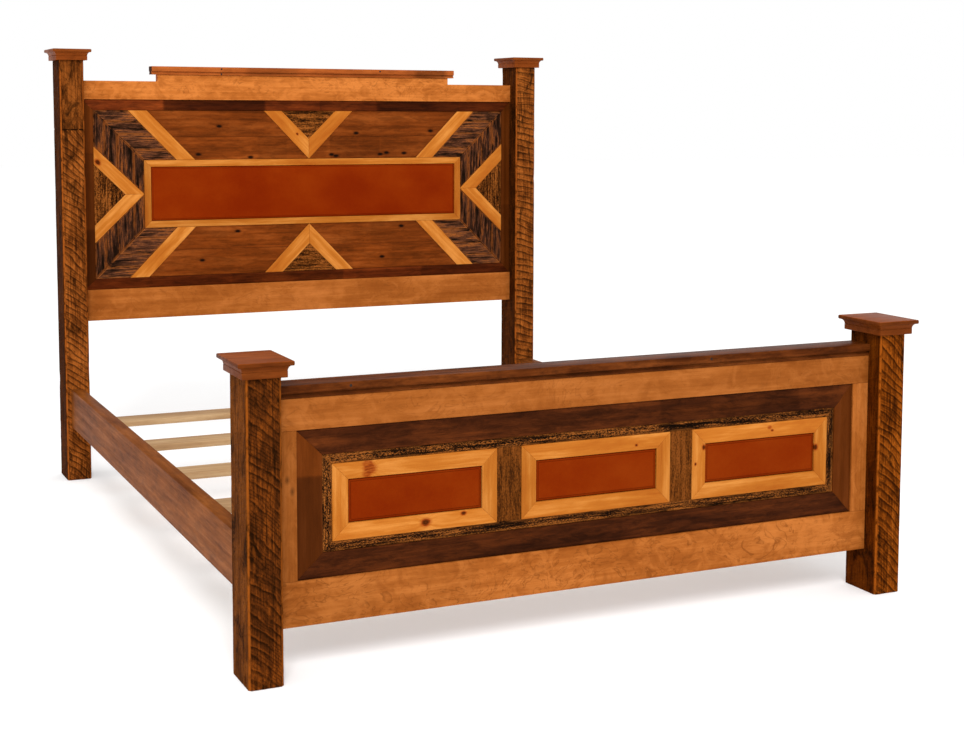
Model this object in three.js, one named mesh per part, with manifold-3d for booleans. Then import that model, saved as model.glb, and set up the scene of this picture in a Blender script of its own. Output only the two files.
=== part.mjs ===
// A queen-size reclaimed-wood bed frame: four capped posts, a stepped headboard with an inlaid barnwood
// and leather panel, a footboard with three leather panels, hook-on side rails, and five loose slats on
// ledgers, two of them with a centre leg and a screw leveller.
// Units are millimetres. X runs across the bed, Y from foot to head, Z up; the origin is on the floor,
// under the middle of the bed.
import * as THREE from 'three';
import { mergeVertices } from 'three/addons/utils/BufferGeometryUtils.js';
import Module from 'manifold-3d';

const wasm = await Module();
wasm.setup();

// ---------------------------------------------------------------- driving dimensions

const GAP = 0.3; // glue line or clearance between two touching pieces

const BED_WIDTH = 1710; // over the outer faces of the posts
const BED_LENGTH = 2250; // from the front of the foot posts to the back of the head posts

const POST = { width: 78, depth: 126, chamfer: 6, footHeight: 665, headHeight: 1378 };
const CAP = { base: 15, cove: 11, slab: 10, baseLip: 10.5, coveLip: 19, slabLip: 22, easing: 2 };

const RAIL = { bottom: 178, top: 303, thickness: 38, inset: 17.3 };
const LEDGER = { width: 32, height: 32, endGap: 40 };
const SLAT = { count: 5, width: 89, thickness: 19, endGap: 2.7, firstOffset: 190 };
const LEG = { size: 45, bottom: 26, boreRadius: 4.4, boreDepth: 50 };
const LEVELLER = { padRadius: 17, padHeight: 6, flangeRadius: 9, flangeTop: 15, stemRadius: 4, stemTop: 62 };
const HOOK = { plate: 3, width: 26, height: 100, thickness: 3, reach: 12, neck: 5, rise: 22, drop: 9, lift: 12 };

// Footboard depths are measured back from the front faces of the foot posts.
const FOOT = {
  face: 46.5, // front of the rails and stiles
  thickness: 64,
  bottomRail: [109, 209.5],
  topRail: [539, 609],
  stripTop: 638,
  stripDepth: [41, 117],
  stile: 45.5,
  moulding: 56.5,
  border: 22,
  frameWidth: 393,
  frameMember: 36.5,
  backer: 12,
  skin: 16, // how far the decorative layer stands in front of the backer
};

// Headboard depths are measured back from the front faces of the head posts.
const HEAD = {
  face: 49,
  thickness: 28,
  bottomRail: [520, 623],
  topRail: [1253, 1314],
  raised: { halfWidth: 526, top: 1336.5 },
  crest: { halfWidth: 546.5, top: 1364, depth: [40, 86] },
  moulding: 35,
  band: 166, // width of the barnwood ring between the moulding and the leather border
  border: 22,
  backer: 10,
  skin: 14,
};

// Half widths of the inlay strips where they meet the edge of the barnwood ring.
const INLAY = {
  chevron: { outer: 160, inner: 102, apexSetback: 63 },
  diagonal: { outer: 627, inner: 564, lean: 162 },
  vee: { outer: 161, inner: 98, apexSetback: 69 },
};

const TENON = { length: 30, thickness: 12, shoulder: 14 };
const GROOVE = 8; // how deep a backer's tongue sits in the posts and rails

// ---------------------------------------------------------------- derived places

const INNER = BED_WIDTH / 2 - POST.width; // inner faces of the posts
const FRONT = -BED_LENGTH / 2;
const HEAD_FRONT = BED_LENGTH / 2 - POST.depth;
const FOOT_BACK = FRONT + POST.depth;
const RAIL_OUTER = BED_WIDTH / 2 - RAIL.inset;
const RAIL_INNER = RAIL_OUTER - RAIL.thickness;
const RAIL_CENTRE = (RAIL_OUTER + RAIL_INNER) / 2;
const SLAT_BOTTOM = RAIL.bottom + LEDGER.height + GAP;
const HOOK_BASES = [RAIL.bottom + 27, RAIL.bottom + 77]; // where each hook bears on its slot

// ---------------------------------------------------------------- materials

const finish = (color, roughness, metalness = 0) => new THREE.MeshStandardMaterial({ color, roughness, metalness });
const MATERIAL = {
  sawnPost: finish(0x6e3d17, 0.75),
  cap: finish(0x7d3a1a, 0.4),
  cherry: finish(0xb56a2c, 0.4),
  darkMoulding: finish(0x4a2312, 0.4),
  barnwood: finish(0x3f2a1c, 0.9),
  pine: finish(0xd08a35, 0.4),
  leather: finish(0x8f3208, 0.5),
  plywood: finish(0xa97a48, 0.7),
  slat: finish(0xb98d5a, 0.65),
  steel: finish(0x3a3a3c, 0.4, 1),
  glide: finish(0x2a2a2a, 0.5),
};

// ---------------------------------------------------------------- solids

const mesh = (name, geometry, material) => {
  const made = new THREE.Mesh(geometry, material);
  made.name = name;
  return made;
};

const block = ([x0, x1], [y0, y1], [z0, z1]) =>
  new THREE.BoxGeometry(x1 - x0, y1 - y0, z1 - z0).translate((x0 + x1) / 2, (y0 + y1) / 2, (z0 + z1) / 2);

const outline = (points) => new THREE.Shape(points.map(([a, b]) => new THREE.Vector2(a, b)));

// A prism standing on an outline in X and Y.
const prismZ = (points, [z0, z1]) =>
  new THREE.ExtrudeGeometry(outline(points), { depth: z1 - z0, bevelEnabled: false }).translate(0, 0, z0);

// A flat piece with its outline in X and Z, from depth y0 back to y1.
const plateY = (points, [y0, y1]) =>
  new THREE.ExtrudeGeometry(outline(points), { depth: y1 - y0, bevelEnabled: false })
    .rotateX(Math.PI / 2)
    .translate(0, y1, 0);

// A bar along X with its section in Y and Z.
const barX = (section, [x0, x1]) => {
  const turn = new THREE.Matrix4().makeBasis(
    new THREE.Vector3(0, 1, 0),
    new THREE.Vector3(0, 0, 1),
    new THREE.Vector3(1, 0, 0),
  );
  return new THREE.ExtrudeGeometry(outline(section), { depth: x1 - x0, bevelEnabled: false })
    .applyMatrix4(turn)
    .translate(x0, 0, 0);
};

const toSolid = (geometry) => {
  const bare = geometry.clone();
  bare.deleteAttribute('normal');
  bare.deleteAttribute('uv');
  const merged = mergeVertices(bare, 1e-3);
  return new wasm.Manifold(
    new wasm.Mesh({
      numProp: 3,
      vertProperties: Float32Array.from(merged.attributes.position.array),
      triVerts: Uint32Array.from(merged.index.array),
    }),
  );
};

const toGeometry = (solid) => {
  const { vertProperties, triVerts } = solid.getMesh();
  const geometry = new THREE.BufferGeometry();
  geometry.setAttribute('position', new THREE.BufferAttribute(vertProperties, 3));
  geometry.setIndex(new THREE.BufferAttribute(triVerts, 1));
  return geometry.toNonIndexed();
};

const cut = (geometry, cutters) =>
  toGeometry(cutters.reduce((solid, cutter) => solid.subtract(toSolid(cutter)), toSolid(geometry)));
const join = (geometries) =>
  toGeometry(geometries.slice(1).reduce((solid, other) => solid.add(toSolid(other)), toSolid(geometries[0])));

// Closed surface through rings of equally many points; the last ring joins the first when `loop` is set,
// otherwise the two end rings are capped as fans.
const skin = (rings, loop) => {
  const count = rings[0].length;
  const index = [];
  const ringTotal = rings.length;
  for (let i = 0; i < (loop ? ringTotal : ringTotal - 1); i++) {
    const a = i * count;
    const b = ((i + 1) % ringTotal) * count;
    for (let j = 0; j < count; j++) {
      const k = (j + 1) % count;
      index.push(a + j, a + k, b + k, a + j, b + k, b + j);
    }
  }
  if (!loop) {
    const top = (ringTotal - 1) * count;
    for (let j = 1; j < count - 1; j++) {
      index.push(0, j + 1, j, top, top + j, top + j + 1);
    }
  }
  const geometry = new THREE.BufferGeometry();
  geometry.setAttribute('position', new THREE.Float32BufferAttribute(rings.flat(2), 3));
  geometry.setIndex(index);
  return geometry.toNonIndexed();
};

// Four mitred members around a rectangle in X and Z. The section is a list of [inset, depth] points.
const mitredFrame = ([x0, x1], [z0, z1], section) =>
  skin(
    [
      [x0, z0, 1, 1],
      [x0, z1, 1, -1],
      [x1, z1, -1, -1],
      [x1, z0, -1, 1],
    ].map(([x, z, sx, sz]) => section.map(([inset, depth]) => [x + sx * inset, depth, z + sz * inset])),
    true,
  );

const rectangle = ([x0, x1], [z0, z1]) => [
  [x0, z0],
  [x1, z0],
  [x1, z1],
  [x0, z1],
];

// The same outline with every edge moved out by `margin`.
const grown = (points, margin) => {
  const at = (i) => points[(i + points.length) % points.length];
  const area = points.reduce((sum, [x, z], i) => sum + x * at(i + 1)[1] - at(i + 1)[0] * z, 0);
  const normal = ([x0, z0], [x1, z1]) => {
    const length = Math.sign(area) * Math.hypot(x1 - x0, z1 - z0);
    return [(z1 - z0) / length, (x0 - x1) / length];
  };
  return points.map(([x, z], i) => {
    const [ax, az] = normal(at(i - 1), at(i));
    const [bx, bz] = normal(at(i), at(i + 1));
    const scale = margin / (1 + ax * bx + az * bz);
    return [x + (ax + bx) * scale, z + (az + bz) * scale];
  });
};

const mirrorX = (points) => points.map(([x, z]) => [-x, z]).reverse();
const mirrorZ = (points, middle) => points.map(([x, z]) => [x, 2 * middle - z]).reverse();

// ---------------------------------------------------------------- posts and caps

const chamferedSection = (width, depth, chamfer) => {
  const x = width / 2;
  const y = depth / 2;
  return [
    [-x + chamfer, -y],
    [x - chamfer, -y],
    [x, -y + chamfer],
    [x, y - chamfer],
    [x - chamfer, y],
    [-x + chamfer, y],
    [-x, y - chamfer],
    [-x, -y + chamfer],
  ];
};

// A post with the mortises, grooves and hook slots that `cutters` describe in the same frame.
const post = (side, height, cutters) => {
  const shaft = prismZ(chamferedSection(POST.width, POST.depth, POST.chamfer), [0, height]);
  shaft.translate(side * (BED_WIDTH - POST.width) / 2, POST.depth / 2, 0);
  return cut(shaft, cutters);
};

// A square cap: base block, cove and eased top slab.
const cap = (side, height) => {
  const ring = (lip, z) => {
    const x = POST.width / 2 + lip;
    const y = POST.depth / 2 + lip;
    return [
      [-x, -y, z],
      [x, -y, z],
      [x, y, z],
      [-x, y, z],
    ];
  };
  const COVE_STEPS = 5;
  const rings = [ring(CAP.baseLip, 0), ring(CAP.baseLip, CAP.base)];
  for (let i = 1; i <= COVE_STEPS; i++) {
    const angle = (i / COVE_STEPS) * Math.PI / 2;
    const lip = CAP.baseLip + (CAP.coveLip - CAP.baseLip) * (1 - Math.cos(angle));
    rings.push(ring(lip, CAP.base + CAP.cove * Math.sin(angle)));
  }
  const slabBottom = CAP.base + CAP.cove;
  const slabTop = slabBottom + CAP.slab;
  rings.push(ring(CAP.slabLip, slabBottom + CAP.easing / 2));
  rings.push(ring(CAP.slabLip, slabTop - CAP.easing));
  rings.push(ring(CAP.slabLip - CAP.easing, slabTop));
  const made = skin(rings, false);
  return made.translate(side * (BED_WIDTH - POST.width) / 2, POST.depth / 2, height + GAP);
};

// The two keyhole slots that a rail's hooks drop into; `face` is the post face and `inward` its direction.
const hookSlots = (side, face, inward) => {
  const halfWidth = HOOK.thickness / 2 + 1;
  const x = [side * RAIL_CENTRE - halfWidth, side * RAIL_CENTRE + halfWidth];
  const span = (near, far) => [face + inward * near, face + inward * far].sort((a, b) => a - b);
  return HOOK_BASES.flatMap((base) => [
    block(x, span(-1, HOOK.reach + 1), [base - GAP, base + HOOK.rise + HOOK.lift]),
    block(x, span(HOOK.neck - GAP, HOOK.reach + 1), [base - HOOK.drop - 1, base + HOOK.rise]),
  ]);
};

// The mortise for a rail's tenon, on the inner face of the post at `side`.
const mortise = (side, depth, [z0, z1]) => {
  const x = [INNER - 1, INNER + TENON.length + GAP].map((value) => side * value).sort((a, b) => a - b);
  const half = TENON.thickness / 2 + GAP;
  return block(x, [depth - half, depth + half], [z0 + TENON.shoulder - GAP, z1 - TENON.shoulder + GAP]);
};

// A rail body with a tenon at each end.
const tenonedRail = (body, depth, [z0, z1]) => {
  const half = TENON.thickness / 2;
  const tenon = (side) => {
    const x = [INNER - 5, INNER + TENON.length].map((value) => side * value).sort((a, b) => a - b);
    return block(x, [depth - half, depth + half], [z0 + TENON.shoulder, z1 - TENON.shoulder]);
  };
  return join([body, tenon(-1), tenon(1)]);
};

// ---------------------------------------------------------------- footboard

// Slab with an eased top edge and a cove under each long overhang.
const cappingSection = ([y0, y1], [z0, z1], overhang) => {
  const cove = (z1 - z0) * 0.3;
  return [
    [y0 + overhang, z0],
    [y1 - overhang, z0],
    [y1 - overhang * 0.75, z0 + cove * 0.7],
    [y1, z0 + cove],
    [y1, z1 - 3],
    [y1 - 3, z1],
    [y0 + 3, z1],
    [y0, z1 - 3],
    [y0, z0 + cove],
    [y0 + overhang * 0.75, z0 + cove * 0.7],
  ];
};

const bevelledMember = (width, depth, front, bevel) => [
  [0, depth],
  [0, front + bevel],
  [bevel, front],
  [width - bevel, front],
  [width, front + bevel],
  [width, depth],
];

// Moulding that rises from a low outer edge to a rounded bead at its inner edge.
const mouldingSection = (width, depth, front) => [
  [0, depth],
  [0, front + 6],
  [width * 0.6, front + 2],
  [width * 0.72, front],
  [width - 3, front],
  [width, front + 3],
  [width, depth],
];

const footboard = () => {
  const group = new THREE.Group();
  group.position.y = FRONT;
  const add = (...parts) => group.add(mesh(...parts));
  const back = FOOT.face + FOOT.thickness;
  const middle = (FOOT.face + back) / 2;
  const skinBack = FOOT.face + FOOT.skin;
  const railEnd = INNER - GAP;

  for (const [label, side] of [['left', -1], ['right', 1]]) {
    const cutters = [
      mortise(side, middle, FOOT.topRail),
      mortise(side, middle, FOOT.bottomRail),
      ...hookSlots(side, POST.depth, -1),
    ];
    add(`footboard_post_${label}`, post(side, POST.footHeight, cutters), MATERIAL.sawnPost);
    add(`footboard_cap_${label}`, cap(side, POST.footHeight), MATERIAL.cap);
    const stileX = [railEnd - FOOT.stile, railEnd].map((value) => side * value).sort((a, b) => a - b);
    const stileZ = [FOOT.bottomRail[1] + GAP, FOOT.topRail[0] - GAP];
    add(`footboard_stile_${label}`, block(stileX, [FOOT.face, back], stileZ), MATERIAL.cherry);
  }

  for (const [label, range] of [['top', FOOT.topRail], ['bottom', FOOT.bottomRail]]) {
    const body = block([-railEnd, railEnd], [FOOT.face, back], range);
    add(`footboard_${label}_rail`, tenonedRail(body, middle, range), MATERIAL.cherry);
  }
  const stripZ = [FOOT.topRail[1] + GAP, FOOT.stripTop];
  add('footboard_cap_strip', barX(cappingSection(FOOT.stripDepth, stripZ, 6), [-railEnd, railEnd]), MATERIAL.cap);

  // Panel field, from the stiles inwards.
  const fieldX = railEnd - FOOT.stile - GAP;
  const fieldZ = [FOOT.bottomRail[1] + GAP, FOOT.topRail[0] - GAP];
  const shrink = ([z0, z1], inset) => [z0 + inset, z1 - inset];
  add(
    'footboard_backer',
    block([-fieldX, fieldX], [skinBack + GAP, skinBack + GAP + FOOT.backer], fieldZ),
    MATERIAL.plywood,
  );
  add(
    'footboard_moulding',
    mitredFrame([-fieldX, fieldX], fieldZ, mouldingSection(FOOT.moulding, skinBack, FOOT.face)),
    MATERIAL.darkMoulding,
  );
  const borderX = fieldX - FOOT.moulding - GAP;
  const borderZ = shrink(fieldZ, FOOT.moulding + GAP);
  add(
    'footboard_barnwood_border',
    mitredFrame([-borderX, borderX], borderZ, bevelledMember(FOOT.border, skinBack, FOOT.face + 4, 1.5)),
    MATERIAL.barnwood,
  );

  // Three framed leather panels with a barnwood divider between each two.
  const panelX = borderX - FOOT.border - GAP;
  const panelZ = shrink(borderZ, FOOT.border + GAP);
  const pitch = panelX - FOOT.frameWidth / 2;
  for (const [label, place] of [['left', -1], ['centre', 0], ['right', 1]]) {
    const x = [place * pitch - FOOT.frameWidth / 2, place * pitch + FOOT.frameWidth / 2];
    add(
      `footboard_frame_${label}`,
      mitredFrame(x, panelZ, bevelledMember(FOOT.frameMember, skinBack, FOOT.face, 2)),
      MATERIAL.pine,
    );
    const inset = FOOT.frameMember + GAP;
    add(
      `footboard_leather_${label}`,
      block(shrink(x, inset), [FOOT.face + 8, skinBack], shrink(panelZ, inset)),
      MATERIAL.leather,
    );
  }
  for (const [label, side] of [['left', -1], ['right', 1]]) {
    const from = FOOT.frameWidth / 2 + GAP;
    const to = pitch - FOOT.frameWidth / 2 - GAP;
    const x = [side * from, side * to].sort((a, b) => a - b);
    add(`footboard_divider_${label}`, block(x, [FOOT.face + 3, skinBack], panelZ), MATERIAL.barnwood);
  }
  return group;
};

// ---------------------------------------------------------------- headboard

const headboard = () => {
  const group = new THREE.Group();
  group.position.y = HEAD_FRONT;
  const add = (...parts) => group.add(mesh(...parts));
  const back = HEAD.face + HEAD.thickness;
  const middle = (HEAD.face + back) / 2;
  const skinBack = HEAD.face + HEAD.skin;
  const backerY = [skinBack + GAP, skinBack + GAP + HEAD.backer];
  const railEnd = INNER - GAP;
  const panel = [HEAD.bottomRail[1], HEAD.topRail[0]];
  const loosen = ([a, b]) => [a - GAP, b + GAP];

  const grooveZ = [panel[0] - GROOVE, panel[1] + GROOVE];
  for (const [label, side] of [['left', -1], ['right', 1]]) {
    const grooveX = [INNER - 1, INNER + GROOVE + GAP].map((value) => side * value).sort((a, b) => a - b);
    const cutters = [
      mortise(side, middle, HEAD.topRail),
      mortise(side, middle, HEAD.bottomRail),
      block(grooveX, loosen(backerY), loosen(grooveZ)),
      ...hookSlots(side, 0, 1),
    ];
    add(`headboard_post_${label}`, post(side, POST.headHeight, cutters), MATERIAL.sawnPost);
    add(`headboard_cap_${label}`, cap(side, POST.headHeight), MATERIAL.cap);
  }

  const groove = block([-INNER, INNER], loosen(backerY), loosen(grooveZ));
  const step = HEAD.raised.halfWidth;
  const topOutline = [
    [-railEnd, HEAD.topRail[0]],
    [railEnd, HEAD.topRail[0]],
    [railEnd, HEAD.topRail[1]],
    [step, HEAD.topRail[1]],
    [step, HEAD.raised.top],
    [-step, HEAD.raised.top],
    [-step, HEAD.topRail[1]],
    [-railEnd, HEAD.topRail[1]],
  ];
  const topRail = tenonedRail(plateY(topOutline, [HEAD.face, back]), middle, HEAD.topRail);
  add('headboard_top_rail', cut(topRail, [groove]), MATERIAL.cherry);
  const bottomBody = block([-railEnd, railEnd], [HEAD.face, back], HEAD.bottomRail);
  const bottomRail = tenonedRail(bottomBody, middle, HEAD.bottomRail);
  add('headboard_bottom_rail', cut(bottomRail, [groove]), MATERIAL.cherry);
  const crestX = HEAD.crest.halfWidth;
  const crestZ = [HEAD.raised.top + GAP, HEAD.crest.top];
  add('headboard_crest', barX(cappingSection(HEAD.crest.depth, crestZ, 7), [-crestX, crestX]), MATERIAL.cap);
  add(
    'headboard_backer',
    block([-INNER - GROOVE, INNER + GROOVE], backerY, [panel[0] - GROOVE, panel[1] + GROOVE]),
    MATERIAL.plywood,
  );

  const mouldingX = railEnd;
  const mouldingZ = [panel[0] + GAP, panel[1] - GAP];
  add(
    'headboard_moulding',
    mitredFrame([-mouldingX, mouldingX], mouldingZ, mouldingSection(HEAD.moulding, skinBack, HEAD.face)),
    MATERIAL.darkMoulding,
  );

  // The barnwood ring: four mitred fields with channels for the inlay strips.
  const ringX = mouldingX - HEAD.moulding - GAP;
  const ringZ = [mouldingZ[0] + HEAD.moulding + GAP, mouldingZ[1] - HEAD.moulding - GAP];
  const holeX = ringX - HEAD.band;
  const holeZ = [ringZ[0] + HEAD.band, ringZ[1] - HEAD.band];
  const centre = (ringZ[0] + ringZ[1]) / 2;

  const { chevron, diagonal, vee } = INLAY;
  const chevronRight = [
    [ringX, centre + chevron.inner],
    [ringX, centre + chevron.outer],
    [holeX, centre],
    [ringX, centre - chevron.outer],
    [ringX, centre - chevron.inner],
    [holeX + chevron.apexSetback, centre],
  ];
  const diagonalTopRight = [
    [diagonal.inner, ringZ[1]],
    [diagonal.inner - diagonal.lean, holeZ[1]],
    [diagonal.outer - diagonal.lean, holeZ[1]],
    [diagonal.outer, ringZ[1]],
  ];
  const veeTop = [
    [-vee.outer, ringZ[1]],
    [0, holeZ[1]],
    [vee.outer, ringZ[1]],
    [vee.inner, ringZ[1]],
    [0, holeZ[1] + vee.apexSetback],
    [-vee.inner, ringZ[1]],
  ];
  const strips = {
    left: { headboard_chevron_left: mirrorX(chevronRight) },
    right: { headboard_chevron_right: chevronRight },
    top: {
      headboard_diagonal_top_left: mirrorX(diagonalTopRight),
      headboard_diagonal_top_right: diagonalTopRight,
      headboard_vee_top: veeTop,
    },
    bottom: {
      headboard_diagonal_bottom_left: mirrorZ(mirrorX(diagonalTopRight), centre),
      headboard_diagonal_bottom_right: mirrorZ(diagonalTopRight, centre),
      headboard_vee_bottom: mirrorZ(veeTop, centre),
    },
  };

  const topField = [
    [-ringX + GAP, ringZ[1]],
    [-holeX + GAP, holeZ[1]],
    [holeX - GAP, holeZ[1]],
    [ringX - GAP, ringZ[1]],
  ];
  const rightField = [
    [ringX, ringZ[0] + GAP],
    [ringX, ringZ[1] - GAP],
    [holeX, holeZ[1] - GAP],
    [holeX, holeZ[0] + GAP],
  ];
  const fields = {
    top: topField,
    bottom: mirrorZ(topField, centre),
    right: rightField,
    left: mirrorX(rightField),
  };
  const fieldFront = HEAD.face + 3;
  const channelFloor = HEAD.face + 9;
  for (const [label, field] of Object.entries(fields)) {
    const channels = Object.values(strips[label]).map((strip) =>
      plateY(grown(strip, GAP), [HEAD.face - 1, channelFloor + GAP]),
    );
    add(`headboard_barnwood_${label}`, cut(plateY(field, [fieldFront, skinBack]), channels), MATERIAL.barnwood);
    for (const [name, strip] of Object.entries(strips[label])) {
      add(name, plateY(strip, [HEAD.face + 1, channelFloor]), MATERIAL.pine);
    }
  }

  const borderX = holeX - GAP;
  const borderZ = [holeZ[0] + GAP, holeZ[1] - GAP];
  add(
    'headboard_leather_border',
    mitredFrame([-borderX, borderX], borderZ, bevelledMember(HEAD.border, skinBack, HEAD.face, 2)),
    MATERIAL.pine,
  );
  const leather = HEAD.border + GAP;
  add(
    'headboard_leather',
    block(
      [-borderX + leather, borderX - leather],
      [HEAD.face + 6, skinBack],
      [borderZ[0] + leather, borderZ[1] - leather],
    ),
    MATERIAL.leather,
  );
  return group;
};

// ---------------------------------------------------------------- side rails and hooks

// A steel plate let into a rail's end, with two down-turned hooks; it faces +Y from its own origin.
const hookPlate = () => {
  const half = HOOK.thickness / 2;
  const hook = (base) =>
    barX(
      [
        [-HOOK.plate, base],
        [HOOK.neck, base],
        [HOOK.neck, base - HOOK.drop],
        [HOOK.reach - 2, base - HOOK.drop],
        [HOOK.reach, base - HOOK.drop + 3],
        [HOOK.reach, base + HOOK.rise - 4],
        [HOOK.reach - 4, base + HOOK.rise],
        [-HOOK.plate, base + HOOK.rise],
      ],
      [-half, half],
    );
  const middle = (RAIL.bottom + RAIL.top) / 2;
  const plate = block(
    [-HOOK.width / 2, HOOK.width / 2],
    [-HOOK.plate, 0],
    [middle - HOOK.height / 2, middle + HOOK.height / 2],
  );
  return join([plate, ...HOOK_BASES.map(hook)]);
};

const sideRails = () => {
  const group = new THREE.Group();
  const y = [FOOT_BACK + GAP, HEAD_FRONT - GAP];
  const middle = (RAIL.bottom + RAIL.top) / 2;
  for (const [label, side] of [['left', -1], ['right', 1]]) {
    const x = [RAIL_INNER, RAIL_OUTER].map((value) => side * value).sort((a, b) => a - b);
    const pocketX = [side * RAIL_CENTRE - HOOK.width / 2 - GAP, side * RAIL_CENTRE + HOOK.width / 2 + GAP];
    const pocketZ = [middle - HOOK.height / 2 - GAP, middle + HOOK.height / 2 + GAP];
    const pockets = [
      block(pocketX, [y[0] - 1, y[0] + HOOK.plate + GAP], pocketZ),
      block(pocketX, [y[1] - HOOK.plate - GAP, y[1] + 1], pocketZ),
    ];
    group.add(mesh(`side_rail_${label}`, cut(block(x, y, [RAIL.bottom, RAIL.top]), pockets), MATERIAL.cherry));

    const ledgerX = [RAIL_INNER - GAP - LEDGER.width, RAIL_INNER - GAP]
      .map((value) => side * value)
      .sort((a, b) => a - b);
    const ledgerY = [FOOT_BACK + LEDGER.endGap, HEAD_FRONT - LEDGER.endGap];
    const ledgerZ = [RAIL.bottom, RAIL.bottom + LEDGER.height];
    group.add(mesh(`ledger_${label}`, block(ledgerX, ledgerY, ledgerZ), MATERIAL.slat));

    const head = mesh(`rail_hook_head_${label}`, hookPlate(), MATERIAL.steel);
    head.position.set(side * RAIL_CENTRE, y[1], 0);
    const foot = mesh(`rail_hook_foot_${label}`, hookPlate(), MATERIAL.steel);
    foot.position.set(side * RAIL_CENTRE, y[0], 0);
    foot.rotation.z = Math.PI;
    group.add(head, foot);
  }
  return group;
};

// ---------------------------------------------------------------- slats, centre legs and levellers

const LEGGED = { 2: 'front', 4: 'rear' }; // the slats that carry a centre leg

const leg = () => {
  const half = LEG.size / 2;
  const body = block([-half, half], [-half, half], [LEG.bottom, SLAT_BOTTOM - GAP]);
  const bore = new THREE.CylinderGeometry(LEG.boreRadius, LEG.boreRadius, LEG.boreDepth + 1, 24)
    .rotateX(Math.PI / 2)
    .translate(0, 0, LEG.bottom - 1 + (LEG.boreDepth + 1) / 2);
  return cut(body, [bore]);
};

const leveller = () => {
  const { padRadius, padHeight, flangeRadius, flangeTop, stemRadius, stemTop } = LEVELLER;
  const profile = [
    [0, 0],
    [padRadius - 2, 0],
    [padRadius, 2],
    [padRadius - 2, padHeight],
    [flangeRadius, padHeight + 1],
    [flangeRadius, flangeTop],
    [stemRadius, flangeTop],
    [stemRadius, stemTop],
    [0, stemTop],
  ].map(([radius, z]) => new THREE.Vector2(radius, z));
  return new THREE.LatheGeometry(profile, 24).rotateX(Math.PI / 2);
};

const slats = () => {
  const group = new THREE.Group();
  const first = FOOT_BACK + SLAT.firstOffset;
  const last = HEAD_FRONT - SLAT.firstOffset;
  const halfLength = RAIL_INNER - SLAT.endGap;
  for (let i = 1; i <= SLAT.count; i++) {
    const place = new THREE.Group();
    place.position.y = first + (last - first) * (i - 1) / (SLAT.count - 1);
    const board = block(
      [-halfLength, halfLength],
      [-SLAT.width / 2, SLAT.width / 2],
      [SLAT_BOTTOM, SLAT_BOTTOM + SLAT.thickness],
    );
    place.add(mesh(`slat_${i}`, board, MATERIAL.slat));
    if (LEGGED[i]) {
      place.add(mesh(`centre_leg_${LEGGED[i]}`, leg(), MATERIAL.slat));
      place.add(mesh(`leveller_${LEGGED[i]}`, leveller(), MATERIAL.glide));
    }
    group.add(place);
  }
  return group;
};

// ---------------------------------------------------------------- the bed

const bed = new THREE.Group();
bed.add(footboard(), headboard(), sideRails(), slats());

export default bed;
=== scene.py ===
"""Looks of the reclaimed-wood bed frame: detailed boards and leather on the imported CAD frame.

Metres, X across the bed, Y from foot to head, Z up. Every place comes from the CAD nodes' boxes.
"""
import math

import bpy
import numpy as np
from mathutils import Matrix, Vector


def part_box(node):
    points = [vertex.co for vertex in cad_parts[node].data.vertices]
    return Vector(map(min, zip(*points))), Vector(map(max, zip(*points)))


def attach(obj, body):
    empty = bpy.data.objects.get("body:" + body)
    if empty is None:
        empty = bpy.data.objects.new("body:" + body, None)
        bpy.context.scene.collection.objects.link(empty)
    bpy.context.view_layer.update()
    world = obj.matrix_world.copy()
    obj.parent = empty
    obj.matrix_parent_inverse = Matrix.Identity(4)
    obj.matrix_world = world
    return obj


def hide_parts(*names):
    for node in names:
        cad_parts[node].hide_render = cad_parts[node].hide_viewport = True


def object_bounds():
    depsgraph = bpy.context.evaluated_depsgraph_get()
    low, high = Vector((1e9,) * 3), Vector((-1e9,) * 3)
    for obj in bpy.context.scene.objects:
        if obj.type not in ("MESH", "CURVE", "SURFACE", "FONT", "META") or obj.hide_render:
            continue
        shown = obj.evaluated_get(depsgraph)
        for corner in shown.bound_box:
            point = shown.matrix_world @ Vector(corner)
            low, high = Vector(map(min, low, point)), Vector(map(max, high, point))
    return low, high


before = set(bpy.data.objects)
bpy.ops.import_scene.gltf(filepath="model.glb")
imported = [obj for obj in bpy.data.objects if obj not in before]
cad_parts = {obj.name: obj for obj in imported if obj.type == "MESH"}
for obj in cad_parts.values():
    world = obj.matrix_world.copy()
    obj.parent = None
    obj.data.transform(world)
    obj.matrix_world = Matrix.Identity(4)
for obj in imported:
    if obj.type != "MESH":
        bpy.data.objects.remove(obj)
CAD_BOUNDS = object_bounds()
SCENE = bpy.context.scene

CAMERA = {
    "place": (-1.7644, -4.3218, 1.2210),
    "yaw": 25.294,  # clockwise from +Y, in degrees
    "pitch": -5.249,
    "roll": 0.224,
    "lens": 59.888,
    "shift": (-0.02784, -0.11929),
}

GAP = 0.0003  # the CAD's glue line
ARRIS = 0.0012  # radius of planed timber's edges
POST_CHAMFER = 0.006
KERF_PITCH = 0.023  # between two saw marks on the posts
SPLICE_HEIGHT = 1.155  # of the joint in the headboard's left post
FAR = 9.0  # mark z where no knot is near


# ---- noise for relief

def lattice(i, j, seed):
    """A repeatable value from -1 to 1 for each integer cell."""
    n = (i * 374761393 + j * 668265263 + seed * 974634777) & 0xFFFFFFFF
    n = ((n ^ (n >> 13)) * 1274126177) & 0xFFFFFFFF
    return ((n ^ (n >> 16)) & 0xFFFFFF) / 0xFFFFFF * 2 - 1


def noise(u, v, seed):
    """Smooth value noise from -1 to 1."""
    i, j = np.floor(u).astype(np.int64), np.floor(v).astype(np.int64)
    f, g = u - i, v - j
    f, g = f * f * (3 - 2 * f), g * g * (3 - 2 * g)
    low = lattice(i, j, seed) * (1 - f) + lattice(i + 1, j, seed) * f
    high = lattice(i, j + 1, seed) * (1 - f) + lattice(i + 1, j + 1, seed) * f
    return low * (1 - g) + high * g


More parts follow.
